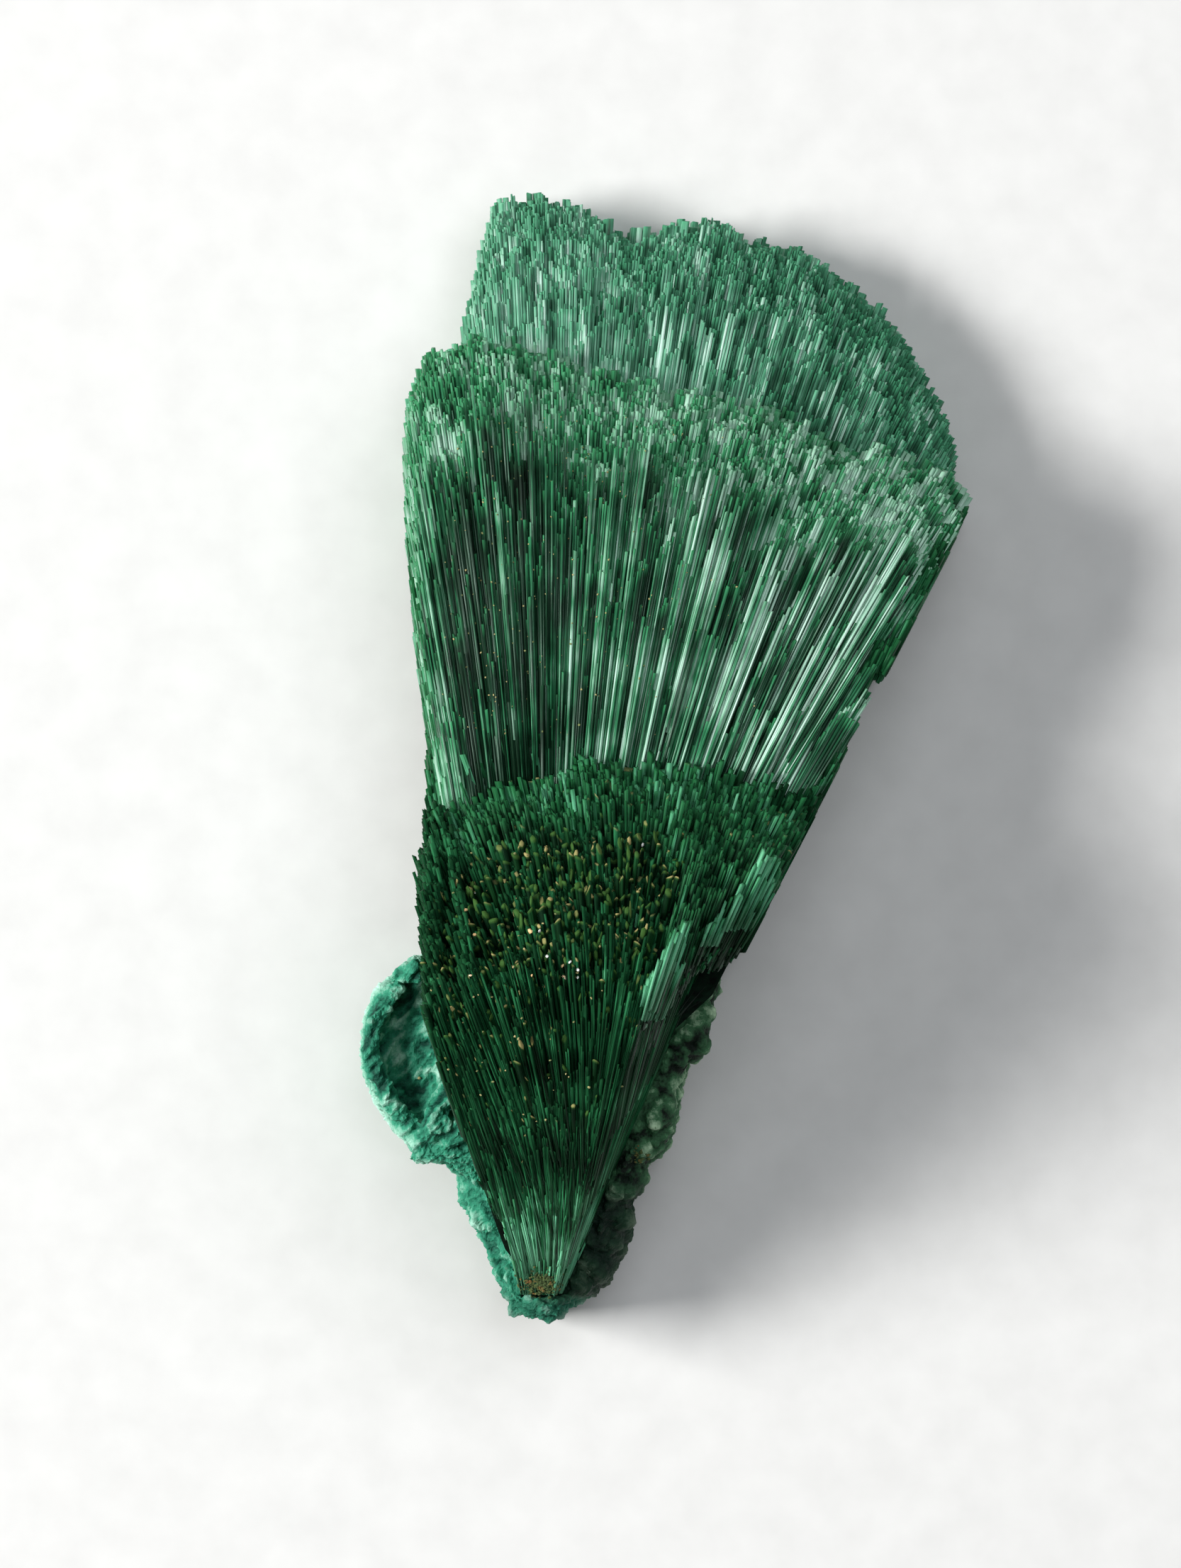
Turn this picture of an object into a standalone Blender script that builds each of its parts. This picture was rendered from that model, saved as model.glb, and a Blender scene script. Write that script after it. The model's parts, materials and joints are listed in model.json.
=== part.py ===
"""Fibrous malachite: a fan of green crystal needles grown on a blue-green mineral crust.

The specimen lies on its back. Its root points to -Y, its broad end to +Y and the
front of the fan faces up, +Z. The origin is the middle of its footprint.
"""
import math
import random

import bmesh
import bpy
from mathutils import Vector, noise

MM = 0.001

# Driving dimensions. Lengths are in millimetres and angles in degrees.
# Every needle points away from one focus, just past the root.
# A needle's sweep is its angle to the right of +Y, and its lift its angle up from level.
FOCUS = Vector((-7.17, -32.07, 6.0))
ROOT_DISTANCE = 3.4      # the root is broken off flat, this far from the focus
GAP = 0.35               # between the needles and the crust that they grew on

# The fan has three steps, one behind the other, and these are the lifts where they part.
BACK_TO_MIDDLE = 1.9
MIDDLE_TO_FRONT = 12.0
LOWEST_LIFT = -8.0

# Reach of the back step and the middle step, as (sweep, distance from the focus).
BACK_REACH = [(-9, 47.5), (-7.7, 51.5), (-6.4, 53.0), (-4.4, 53.8), (-2.2, 61.4), (0, 61.8),
              (4.8, 60.3), (8.6, 61.2), (12.3, 60.8), (16.3, 59.5), (19, 58.4), (21.7, 56.2),
              (24.8, 53.0), (25.6, 51.2)]
MIDDLE_REACH = [(-9, 47.5), (-7.7, 51.5), (-6.4, 53.3), (-4.7, 54.3), (-2.3, 54.3), (3, 52.7),
                (5.9, 52.1), (14.4, 52.0), (17.7, 51.3), (24.5, 52.0), (26.7, 51.0)]
# How far each of them falls back towards its front, as (lift, distance).
BACK_FALL = [(-1.4, 0), (-0.2, 1.3), (0.8, 3.8), (1.45, 6.3), (1.9, 8.5)]
MIDDLE_FALL = [(4.5, 0), (6, 1.3), (7.5, 3.8), (9, 6.3), (10, 9), (11, 15), (12, 20)]
# How far both fall back towards their left edge, as (sweep, distance).
LEFT_FALL = [(-9.9, 14), (-9.4, 8), (-8.9, 3.5), (-8.3, 1), (-7.5, 0)]

# The front step is a dome: its reach by lift, and a share of that by sweep.
FRONT_REACH = [(14, 33.0), (25, 31.7), (35, 30.0), (41, 28.3), (43, 24.5), (45, 16.0)]
FRONT_SHARE = [(-8.7, 0.915), (0.2, 0.96), (6.4, 0.985), (13.2, 1.0), (26, 1.03), (27.5, 1.0)]
# Where the dome's face is broken away: the highest lift left, by sweep.
FRONT_LIMIT = [(14.5, 45), (16, 44), (19, 38), (20.5, 35.5), (25, 30), (27, 26)]
# The left flank is split off along a plane, this far left of the focus.
FLANK = -5.7
FLANK_SWEEP = -9.9
# Needles at both edges are broken at their lower end too, so the fan narrows to the root.
LEFT_EDGE = [(ROOT_DISTANCE, -12.9), (10.0, -14), (12.0, -16), (15.0, -18)]   # (distance, sweep)
RIGHT_EDGE = 22.0
# On the right, needles above this lift end in a ledge: the lift by sweep, and the ledge's
# distance up from the focus by sweep.
LEDGE_LIFT = [(14.5, 45), (16, 44), (18.5, 36), (20.5, 26), (22.6, 15)]
LEDGE_END = [(16, 16.5), (20, 19.5), (22, 21.6)]

# Bundles of needles are cells in a brick pattern of columns and rows.
FIRST_SWEEP = -17.6
LAST_SWEEP = 27.4
COLUMN = 1.8
ROWS_BEHIND = [-2.5, -0.6, 0.6, 1.9]
ROWS_MIDDLE = [3.4, 4.9, 6.3, 7.7, 9.0, 10.4, 12.0]
FIRST_FRONT_ROW = 14.5
LAST_FRONT_ROW = 46.0
FRONT_ROW = 2.9
ROW_WAVE = 1.3           # rows wander by about this share of their height
# A corner where three bundles meet lies off its place by these shares of a cell.
CORNER_POINT = 0.14      # up or down, so that cells are six-sided
CORNER_DRIFT = (0.22, 0.12)   # at random, along the row and across it
SHORTEST = 2.5           # a bundle shorter than this has broken off
# How unevenly the bundles end: on the steps, on the middle step's long face, on the dome.
STEP_RAGGED = 0.7
FACE_RAGGED = 2.6
DOME_RAGGED = 0.75

# Outline of the crust seen from above, as (distance up from the focus, distance right of it).
CRUST_LEFT = [(1.9, -0.1), (2.2, -1.1), (3.2, -2.0), (3.95, -2.3), (5.1, -2.6), (6.6, -3.3),
              (8.1, -4.2), (9.6, -4.4), (10.15, -5.0), (10.4, -6.8), (11.4, -7.0), (12.3, -7.8),
              (13.4, -8.4), (14.9, -9.2), (16.4, -9.4), (17.9, -9.2), (19.4, -8.6),
              (20.4, -7.5), (21.2, -6.7)]
CRUST_RIGHT = [(1.9, 1.2), (2.8, 2.4), (3.95, 3.5), (5.4, 4.4), (6.4, 4.9), (8.4, 5.0),
               (9.4, 5.6), (10.4, 5.8), (11.2, 6.8), (12.9, 7.3), (14.5, 7.5), (15.7, 8.0),
               (16.9, 8.5), (18.2, 9.2), (20.3, 9.6), (21.2, 10.0)]
# Heights of the crust beside the needles, as (distance up from the focus, height).
LEFT_RIM = [(2, 5.5), (5, 6.0), (9, 6.0), (10.5, 8.5), (13, 8.0), (16, 9.0), (19, 9.0), (21, 7.0)]
LEFT_BOWL = [(2, 8.0), (5, 7.0), (9, 6.6), (10.8, 8.4), (12.2, 7.4), (14, 6.4), (18, 6.2), (21, 6.4)]
LEFT_FOOT = [(2, 8.0), (5, 6.4), (9, 6.0), (11, 7.4), (13.2, 8.6), (14.5, 7.6), (18, 7.2), (21, 6.8)]
RIGHT_LUMPS = [(2, 7.0), (5, 6.4), (8, 8.2), (11, 9.2), (14, 8.8), (17, 8.2), (20, 6.5), (21, 5.0)]
FOOT_TOP = 8.6           # the crust closes round the root's broken end
FOOT_END = 2.95
CRUST_STATIONS = 36
CRUST_ROUGH = 0.35
# The crust's edge stands a little over its footprint, as (distance in, height).
EDGE_FOOT = (0.9, 0)
EDGE_SKIRT = (0.15, 1.8)
RIM_BEVEL = 0.6
# Shares of the way from the left edge to the needles, where the rim and the bowl lie.
RIM_EDGE = 0.08
RIM_TOP = 0.22
BOWL_WALL = 0.38
BOWL_FLOOR = 0.55
BOWL_END = 0.78
# Shares of the way from the needles to the right edge, between which the lumps lie.
LUMPS = (0.35, 0.75)


def at(pairs, place):
    """Value at a place along straight lines through (place, value) pairs, level beyond them."""
    if place <= pairs[0][0]:
        return pairs[0][1]
    for (a, low), (b, high) in zip(pairs, pairs[1:]):
        if place <= b:
            return low + (high - low) * (place - a) / (b - a)
    return pairs[-1][1]


def direction(sweep, lift):
    """Unit vector of a needle."""
    s = math.radians(sweep)
    v = math.radians(lift)
    return Vector((math.sin(s) * math.cos(v), math.cos(s) * math.cos(v), math.sin(v)))


def needle_reach(sweep, lift):
    """Distance from the focus to the fan's surface, before floor and flank cut it."""
    if lift < BACK_TO_MIDDLE:
        return at(BACK_REACH, sweep) - at(BACK_FALL, lift) - at(LEFT_FALL, sweep)
    if lift < MIDDLE_TO_FRONT:
        return at(MIDDLE_REACH, sweep) - at(MIDDLE_FALL, lift) - at(LEFT_FALL, sweep)
    return at(FRONT_REACH, lift) * at(FRONT_SHARE, sweep)


def cut_reach(sweep, lift):
    """Distance from the focus to the floor or to the split left flank along a needle."""
    reach = math.inf
    way = direction(sweep, lift)
    if way.z < 0:
        reach = FOCUS.z / -way.z
    if sweep < FLANK_SWEEP:
        reach = min(reach, FLANK / way.x)
    return reach


def level_reach(up, sweep, lift):
    """Distance along a needle to the level this far up from the focus."""
    return up / direction(sweep, lift).y


def floor_lift(sweep):
    """Lift of the needles whose tips just touch the floor."""
    touching = -math.degrees(math.asin(FOCUS.z / at(BACK_REACH, sweep)))
    return touching if sweep > FLANK_SWEEP else LOWEST_LIFT + 1


def row_edges():
    """Lift of each line between two rows, as a function of sweep."""
    edges = [lambda sweep: LOWEST_LIFT, floor_lift]
    fixed = ROWS_BEHIND + ROWS_MIDDLE
    count = round((LAST_FRONT_ROW - FIRST_FRONT_ROW) / FRONT_ROW)
    fixed += [FIRST_FRONT_ROW + i * (LAST_FRONT_ROW - FIRST_FRONT_ROW) / count
              for i in range(count + 1)]
    return edges + [lambda sweep, lift=lift: lift for lift in fixed]


class Bundle:
    """One cell of the fan: the needles between six corners, with one ragged end."""

    def __init__(self, corners, middle, shift):
        self.corners = corners
        sweep, lift = middle
        self.on_floor = lift < floor_lift(sweep) and sweep > FLANK_SWEEP
        self.reach = needle_reach(sweep, lift) + shift
        self.base = self.lower_end(sweep, lift)
        self.length = self.reach - level_reach(self.base, sweep, lift)

    def lower_end(self, sweep, lift):
        """Level of the bundle's lower end, which is the root's broken face for most."""
        if sweep > RIGHT_EDGE or lift > at(LEDGE_LIFT, sweep):
            return at(LEDGE_END, sweep)
        return at([(edge, up) for up, edge in reversed(LEFT_EDGE)], sweep)

    def top(self, place):
        cut = cut_reach(*place)
        return cut if self.on_floor else min(self.reach, cut)

    def bottom(self, place):
        return level_reach(self.base, *place)


def raggedness(lift):
    """How far a bundle's end may lie from the smooth surface."""
    if MIDDLE_FALL[4][0] < lift < MIDDLE_TO_FRONT:
        return FACE_RAGGED
    return DOME_RAGGED if lift > MIDDLE_TO_FRONT else STEP_RAGGED


def fan_corners(edges, rng):
    """Places of the corners where three bundles meet, slightly uneven like real ones."""
    half = COLUMN / 2
    columns = round((LAST_SWEEP - FIRST_SWEEP) / half)
    corners = {}
    for j, edge in enumerate(edges):
        for k in range(columns + 1):
            sweep = FIRST_SWEEP + (k + rng.uniform(-1, 1) * CORNER_DRIFT[0]) * half
            lift = edge(sweep)
            if j > 1:
                height = lift - edges[j - 1](sweep)
                point = CORNER_POINT if k % 2 == j % 2 else -CORNER_POINT
                wave = noise.noise(Vector((sweep * 0.21, lift * 0.08, 0))) * ROW_WAVE
                lift += (point + wave + rng.uniform(-1, 1) * CORNER_DRIFT[1]) * height
            corners[j, k] = (sweep, lift)
    return corners, columns


def fan_bundles(corners, columns, rows, rng):
    """The bundles inside the fan's limits, by row and column."""
    bundles = []
    for j in range(rows):
        for a in range(j % 2, columns - 1, 2):
            around = [(j, a), (j, a + 1), (j, a + 2), (j + 1, a + 2), (j + 1, a + 1), (j + 1, a)]
            sweep = sum(corners[c][0] for c in around) / 6
            lift = sum(corners[c][1] for c in around) / 6
            shift = rng.uniform(-1, 1) * raggedness(lift)
            bundle = Bundle(around, (sweep, lift), shift)
            if lift < at(FRONT_LIMIT, sweep) and bundle.length > SHORTEST:
                bundles.append(bundle)
    return bundles


def zip_wall(bm, low_chain, high_chain):
    """Triangles between two rows of points that run the same way along two needles."""
    i = j = 0
    while i < len(low_chain) - 1 or j < len(high_chain) - 1:
        first_is_next = j == len(high_chain) - 1 or (
            i < len(low_chain) - 1 and low_chain[i + 1][0] <= high_chain[j + 1][0])
        corner = (low_chain[i][1], high_chain[j][1])
        if first_is_next:
            i += 1
            bm.faces.new((*corner, low_chain[i][1]))
        else:
            j += 1
            bm.faces.new((*corner, high_chain[j][1]))


def fan_mesh(bundles, corners):
    """Closed mesh of all bundles, with a wall wherever one stands above the next."""
    bm = bmesh.new()
    stops = {}
    beside = {}
    for bundle in bundles:
        for n, corner in enumerate(bundle.corners):
            place = corners[corner]
            line = stops.setdefault(corner, {})
            for reach in (bundle.top(place), bundle.bottom(place)):
                if round(reach, 2) not in line:
                    point = (FOCUS + direction(*place) * reach) * MM
                    line[round(reach, 2)] = bm.verts.new(point)
            edge = frozenset((corner, bundle.corners[(n + 1) % 6]))
            beside.setdefault(edge, []).append(bundle)

    def chain(corner, low, high):
        low, high = sorted((round(low, 2), round(high, 2)))
        return [(s, stops[corner][s]) for s in sorted(stops[corner]) if low <= s <= high]

    def wall(edge, lows, highs):
        one, other = [chain(c, lows[c], highs[c]) for c in edge]
        zip_wall(bm, one, other)

    for edge, pair in beside.items():
        tops = [{c: b.top(corners[c]) for c in edge} for b in pair]
        bottoms = [{c: b.bottom(corners[c]) for c in edge} for b in pair]
        if len(pair) == 1:
            wall(edge, bottoms[0], tops[0])
        else:
            wall(edge, *tops)
            wall(edge, *bottoms)
    for bundle in bundles:
        ends = [bundle.top] if bundle.base == ROOT_DISTANCE else [bundle.top, bundle.bottom]
        for end in ends:
            bm.faces.new([stops[c][round(end(corners[c]), 2)] for c in bundle.corners])
    open_root = [edge for edge in bm.edges if edge.is_boundary]
    bmesh.ops.holes_fill(bm, edges=open_root, sides=0)
    bmesh.ops.triangulate(bm, faces=bm.faces[:])
    bmesh.ops.recalc_face_normals(bm, faces=bm.faces[:])
    return bm


def spray_left(up):
    """Left edge of the needles at a distance up from the focus, as seen from above."""
    return max(FLANK, up * math.tan(math.radians(at(LEFT_EDGE, up) - COLUMN * 0.7)))


def spray_right(up):
    """Right edge of the needles low on the fan."""
    return up * math.tan(math.radians(RIGHT_EDGE + COLUMN * 0.7))


def crust_section(up):
    """One slice across the crust, from its left foot over the top to its right foot."""
    under_root = up > FOOT_END
    left = at(CRUST_LEFT, up)
    right = at(CRUST_RIGHT, up)
    near = spray_left(up) - GAP if under_root else left + 0.4 * (right - left)
    far = spray_right(up) + GAP if under_root else left + 0.7 * (right - left)
    rim, bowl, foot = (at(side, up) for side in (LEFT_RIM, LEFT_BOWL, LEFT_FOOT))
    lump = at(RIGHT_LUMPS, up)

    def under(x):
        return FOCUS.z - GAP - math.hypot(x, up) * math.tan(math.radians(-LOWEST_LIFT))

    def across(share):
        return left + (near - left) * share

    points = [(left + EDGE_FOOT[0], EDGE_FOOT[1]), (left + EDGE_SKIRT[0], EDGE_SKIRT[1]),
              (left, rim * 0.6), (across(RIM_EDGE), rim - RIM_BEVEL), (across(RIM_TOP), rim),
              (across(BOWL_WALL), (rim + bowl) / 2), (across(BOWL_FLOOR), bowl),
              (across(BOWL_END), (bowl + foot) / 2), (near, foot)]
    free = list(range(1, 8))
    for share in (0, 0.25, 0.5, 0.75, 1):
        x = near + (far - near) * share
        points.append((x, under(x) if under_root else FOOT_TOP))
    free += list(range(15, 19))
    points += [(far, lump), (far + (right - far) * LUMPS[0], lump + RIM_BEVEL),
               (far + (right - far) * LUMPS[1], lump), (right, lump * 0.6),
               (right - EDGE_SKIRT[0], EDGE_SKIRT[1]), (right - EDGE_FOOT[0], EDGE_FOOT[1])]
    section = [Vector((x, up, z - FOCUS.z)) for x, z in points]
    for n in free:
        push = noise.noise_vector(section[n] * 0.55) + noise.noise_vector(section[n] * 1.3) * 0.6
        section[n] += Vector((push.x * 0.5, 0, push.z)) * CRUST_ROUGH * 2
    return section


def crust_mesh():
    """Closed mesh through all the slices, from the foot to the crust's top end."""
    bottom = CRUST_LEFT[0][0]
    top = CRUST_LEFT[-1][0]
    stations = [bottom + (top - bottom) * i / (CRUST_STATIONS - 1) for i in range(CRUST_STATIONS)]
    stations = [up for up in stations if abs(up - FOOT_END) > 0.2]
    stations = sorted(stations + [FOOT_END, FOOT_END + 0.1])
    bm = bmesh.new()
    rings = []
    for up in stations:
        rings.append([bm.verts.new((FOCUS + point) * MM) for point in crust_section(up)])
    count = len(rings[0])
    for ring, following in zip(rings, rings[1:]):
        for n in range(count):
            m = (n + 1) % count
            bm.faces.new((ring[n], ring[m], following[m], following[n]))
    bm.faces.new(rings[0])
    bm.faces.new(rings[-1])
    bmesh.ops.triangulate(bm, faces=bm.faces[:])
    bmesh.ops.recalc_face_normals(bm, faces=bm.faces[:])
    return bm


def mineral(name, colour, roughness):
    """Material of one mineral."""
    material = bpy.data.materials.new(name)
    material.use_nodes = True
    shader = material.node_tree.nodes["Principled BSDF"]
    shader.inputs["Base Color"].default_value = (*colour, 1)
    shader.inputs["Roughness"].default_value = roughness
    shader.inputs["Metallic"].default_value = 0
    return material


def add_piece(name, bm, material):
    """Object of one piece of the specimen."""
    mesh = bpy.data.meshes.new(name)
    bm.to_mesh(mesh)
    bm.free()
    mesh.materials.append(material)
    piece = bpy.data.objects.new(name, mesh)
    bpy.context.scene.collection.objects.link(piece)
    return piece


def build_spray():
    """The fan of needles."""
    rng = random.Random(11)
    edges = row_edges()
    corners, columns = fan_corners(edges, rng)
    bundles = fan_bundles(corners, columns, len(edges) - 1, rng)
    add_piece("malachite_spray", fan_mesh(bundles, corners),
              mineral("silky green malachite", (0.03, 0.15, 0.065), 0.4))


def build_crust():
    """The lumpy crust behind the lower half of the fan, with an ear-shaped lobe on the left."""
    add_piece("blue_green_crust", crust_mesh(),
              mineral("dull blue-green crust", (0.07, 0.3, 0.2), 0.75))


def main():
    for item in list(bpy.data.objects):
        bpy.data.objects.remove(item, do_unlink=True)
    build_spray()
    build_crust()


main()
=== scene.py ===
import json
import math
import random

import bmesh
import bpy
import numpy as np
from mathutils import Matrix, Vector, noise
from mathutils.bvhtree import BVHTree

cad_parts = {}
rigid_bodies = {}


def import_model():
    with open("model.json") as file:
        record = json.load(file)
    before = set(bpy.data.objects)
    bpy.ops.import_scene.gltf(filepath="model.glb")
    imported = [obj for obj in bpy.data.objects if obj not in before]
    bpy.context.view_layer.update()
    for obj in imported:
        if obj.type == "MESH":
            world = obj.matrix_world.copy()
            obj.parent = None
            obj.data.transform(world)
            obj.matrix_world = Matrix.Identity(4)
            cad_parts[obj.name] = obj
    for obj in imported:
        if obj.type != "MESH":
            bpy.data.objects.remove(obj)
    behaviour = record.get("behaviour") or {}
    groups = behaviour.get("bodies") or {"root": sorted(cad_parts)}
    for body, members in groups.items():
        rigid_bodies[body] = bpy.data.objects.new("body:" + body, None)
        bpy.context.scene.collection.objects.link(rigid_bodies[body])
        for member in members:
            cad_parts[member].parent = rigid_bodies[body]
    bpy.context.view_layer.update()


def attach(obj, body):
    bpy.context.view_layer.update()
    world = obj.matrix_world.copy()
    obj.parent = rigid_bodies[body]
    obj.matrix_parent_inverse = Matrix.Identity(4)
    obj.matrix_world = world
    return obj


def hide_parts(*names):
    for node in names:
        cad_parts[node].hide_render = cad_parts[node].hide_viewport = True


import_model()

# The heart of the fan
# Fibrous malachite grows outwards from one point as a solid pack of needles. Behind their
# tips they are pressed together without gaps, so the heart is one closed body that shows only
# at the bottom of the cracks, coloured nearly black as painted shade.
MM = 0.001
FOCUS = np.array([-7.17, -32.07, 6.0])   # every needle points away from here
ROOT = 3.4                               # distance at which the root is broken off
STEP_LIFTS = (1.9, 12.0)                 # where the back, middle and front step part
LOWEST = -8.0
FLANK = -5.7                             # the left flank is split along this plane
FLANK_SWEEP = -9.9                       # by needles further left than this
BACK_REACH = [(-9, 47.5), (-7.7, 51.5), (-6.4, 53.0), (-4.4, 53.8), (-2.2, 61.4), (0, 61.8),
              (4.8, 60.3), (8.6, 61.2), (12.3, 60.8), (16.3, 59.5), (19, 58.4), (21.7, 56.2),
              (24.8, 53.0), (25.6, 51.2)]
MIDDLE_REACH = [(-9, 47.5), (-7.7, 51.5), (-6.4, 53.3), (-4.7, 54.3), (-2.3, 54.3), (3, 52.7),
                (5.9, 52.1), (14.4, 52.0), (17.7, 51.3), (24.5, 52.0), (26.7, 51.0)]
BACK_FALL = [(-1.4, 0), (-0.2, 1.3), (0.8, 3.8), (1.45, 6.3), (1.9, 8.5)]
MIDDLE_FALL = [(4.5, 0), (6, 1.3), (7.5, 3.8), (9, 6.3), (10, 9), (11, 15), (12, 20)]
FRONT_REACH = [(14, 33.0), (25, 31.7), (35, 30.0), (41, 28.3), (43, 24.5), (45, 16.0)]
FRONT_SHARE = [(-8.7, 0.915), (0.2, 0.96), (6.4, 0.985), (13.2, 1.0), (26, 1.03), (27.5, 1.0)]
TOP_LIFT = [(14.5, 45), (16, 44), (19, 38), (20.5, 35.5), (25, 30), (27, 26)]   # by sweep
LOWER_TOP = [(14.5, 45), (16, 44), (18.5, 36), (20.5, 26), (22.6, 15)]   # nearer to the root
LEDGE = [(16, 16.5), (20, 19.5), (22, 21.6)]   # distance up where the two meet, by sweep
LEFT_FALL = [(-9.9, 14), (-9.4, 8), (-8.9, 3.5), (-8.3, 1), (-7.5, 0)]   # of the two back steps
# Sweep of the fan's left and right edge, by level distance from the focus.
LEFT_EDGE = [(3.4, -12.9), (10, -14), (12, -16), (15, -18)]
RIGHT_EDGE = [(21.0, 22.6), (22.0, 26.9), (31, 26.8), (33, 26.0), (40, 26.1), (45, 26.9)]
HEART_COVER = 1.5                        # thickness of the loose tips over the heart
HEART_SIDE = 0.45                        # the heart's sides lie this far inside the needles


def level(pairs, place):
    """Values at places along straight lines through (place, value) pairs."""
    steps, values = zip(*pairs)
    return np.interp(place, steps, values)


def way(sweep, lift):
    """Unit vectors of needles, from their sweep to the right and their lift, in degrees."""
    s = np.radians(sweep)
    v = np.radians(lift)
    return np.stack([np.sin(s) * np.cos(v), np.cos(s) * np.cos(v), np.sin(v)], -1)


def reach(sweep, lift):
    """Distance from the focus to the smooth surface through the needles' tips."""
    back = level(BACK_REACH, sweep) - level(BACK_FALL, lift)
    middle = level(MIDDLE_REACH, sweep) - level(MIDDLE_FALL, lift)
    front = level(FRONT_REACH, lift) * level(FRONT_SHARE, sweep)
    behind = np.where(lift < STEP_LIFTS[0], back, middle) - level(LEFT_FALL, sweep)
    tips = np.where(lift < STEP_LIFTS[1], behind, front)
    split = FLANK / np.minimum(way(sweep, lift)[..., 0], -0.01)
    return np.where(sweep < FLANK_SWEEP, np.minimum(tips, split), tips)


def linear(colour):
    """sRGB hex to linear colour."""
    parts = [int(colour[i:i + 2], 16) / 255 for i in (0, 2, 4)]
    return [p / 12.92 if p < 0.04045 else ((p + 0.055) / 1.055) ** 2.4 for p in parts] + [1]


def add(tree, kind, settings=(), feeds=()):
    """Adds a node with its settings and links. A feed is a value or another node's output."""
    made = tree.nodes.new("ShaderNode" + kind)
    for name, value in dict(settings).items():
        if name == "stops":
            ramp = made.color_ramp
            while len(ramp.elements) < len(value):
                ramp.elements.new(0.5)
            for element, (place, colour) in zip(ramp.elements, value):
                element.position = place
                element.color = linear(colour)
        else:
            setattr(made, name, value)
    for socket, feed in dict(feeds).items():
        if isinstance(feed, bpy.types.NodeSocket):
            tree.links.new(feed, made.inputs[socket])
        else:
            made.inputs[socket].default_value = feed
    return made


def new_material(name):
    """Empty material and its shader."""
    made = bpy.data.materials.new(name)
    made.use_nodes = True
    return made.node_tree, made.node_tree.nodes["Principled BSDF"]


def mottled(name, scale, detail, stops, rough):
    """Material whose colour changes in spots about 1 / scale metres apart, and its shader."""
    tree, shader = new_material(name)
    place = add(tree, "TexCoord").outputs["Object"]
    spots = add(tree, "TexNoise", {}, {"Vector": place, "Scale": scale, "Detail": detail})
    colours = add(tree, "ValToRGB", {"stops": stops}, {0: spots.outputs["Fac"]})
    tree.links.new(colours.outputs["Color"], shader.inputs["Base Color"])
    shader.inputs["Roughness"].default_value = rough
    return shader


def piece(name, points, faces, material, stands_for):
    """Object of one closed mesh, from points in millimetres, tied to the frame."""
    mesh = bpy.data.meshes.new(name)
    mesh.from_pydata((points * MM).tolist(), [], faces)
    mesh.materials.append(bpy.data.materials[material])
    made = bpy.data.objects.new(name, mesh)
    bpy.context.scene.collection.objects.link(made)
    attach(made, "root")
    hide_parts(stands_for)


# Packed malachite, coloured nearly black green as painted shade, since no light gets in between the
# needles.
shader = mottled("packed_malachite_painted_shade", 2500, 3, [(0.35, "030A06"), (0.7, "0B2416")], 0.8)
shader.inputs["Specular IOR Level"].default_value = 0.1

HEART_GRID = (40, 44, 14)                # cells across, up and outwards


def heart_point(a, b, c):
    """Point of the heart at shares across, up and outwards."""
    low = ROOT + 0.3
    out = c ** 1.2
    flat = low + out * 30
    left = max(level(LEFT_EDGE, flat), -17.5) + math.degrees(HEART_SIDE / flat)
    right = level(RIGHT_EDGE, flat) - math.degrees(HEART_SIDE / flat)
    sweep = left + (right - left) * a
    top = level(LOWER_TOP, sweep) - math.degrees(HEART_SIDE / (flat * 0.8 + 1))
    lift = LOWEST + 0.6 + (top - LOWEST - 0.6) * b
    far = min(float(reach(sweep, lift + over)) for over in (0, 0.4, 0.8, 1.2)) - HEART_COVER
    point = FOCUS + way(sweep, lift) * (low + (far - low) * out)
    point[2] = max(point[2], 0.3)
    return point


heart_points = {}
heart_faces = []
for axis in range(3):
    i, j = [n for n in range(3) if n != axis]
    for far in (0, HEART_GRID[axis]):
        for u in range(HEART_GRID[i]):
            for v in range(HEART_GRID[j]):
                face = []
                for du, dv in ((0, 0), (1, 0), (1, 1), (0, 1)):
                    corner = [0, 0, 0]
                    corner[axis], corner[i], corner[j] = far, u + du, v + dv
                    face.append(heart_points.setdefault(tuple(corner), len(heart_points)))
                outward = (far > 0) == (axis == 1)
                heart_faces.append(face if outward else face[::-1])
shares = np.array(list(heart_points)) / HEART_GRID
piece("fan_heart", np.array([heart_point(*share) for share in shares]), heart_faces,
      "packed_malachite_painted_shade", "malachite_spray")

# Back step
# The oldest and longest needles: silky green fibres 0.1 to 0.2 mm wide, side by side in flat
# splinters. Seen from above they lie side-on, with their broken ends staggered like a thatch.
rng = random.Random(7)
ON_FLOOR = 0.1                           # lower needles would lie in the floor
BACK_LENGTH = 9                          # of a needle behind its tip
BACK_SWEEPS = (FLANK_SWEEP, 25.9)


def plant(lifts, thickness, sweeps, width):
    """Rows of splinters, each row filled from left to right: sweep, lift, width, thickness."""
    cells = []
    lift = lifts[0]
    while lift < lifts[1]:
        tall = thickness * rng.uniform(0.75, 1.25)
        sweep = sweeps[0] + rng.random() * 0.5
        middle = float(reach(sum(sweeps) / 2, lift))
        while sweep < sweeps[1]:
            wide = float(level(width, sweep)) * math.exp(rng.gauss(0, 0.4))
            turn = math.degrees(wide / (middle * math.cos(math.radians(lift))))
            if sweep + turn < sweeps[1] + 0.2:
                cells.append((sweep + turn / 2, lift, wide, tall))
            sweep += turn
        lift += math.degrees(tall / middle)
    cells = np.array(cells).T
    height = FOCUS[2] + reach(cells[0], cells[1]) * np.sin(np.radians(cells[1]))
    return cells[:, height > ON_FLOOR]


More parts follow.
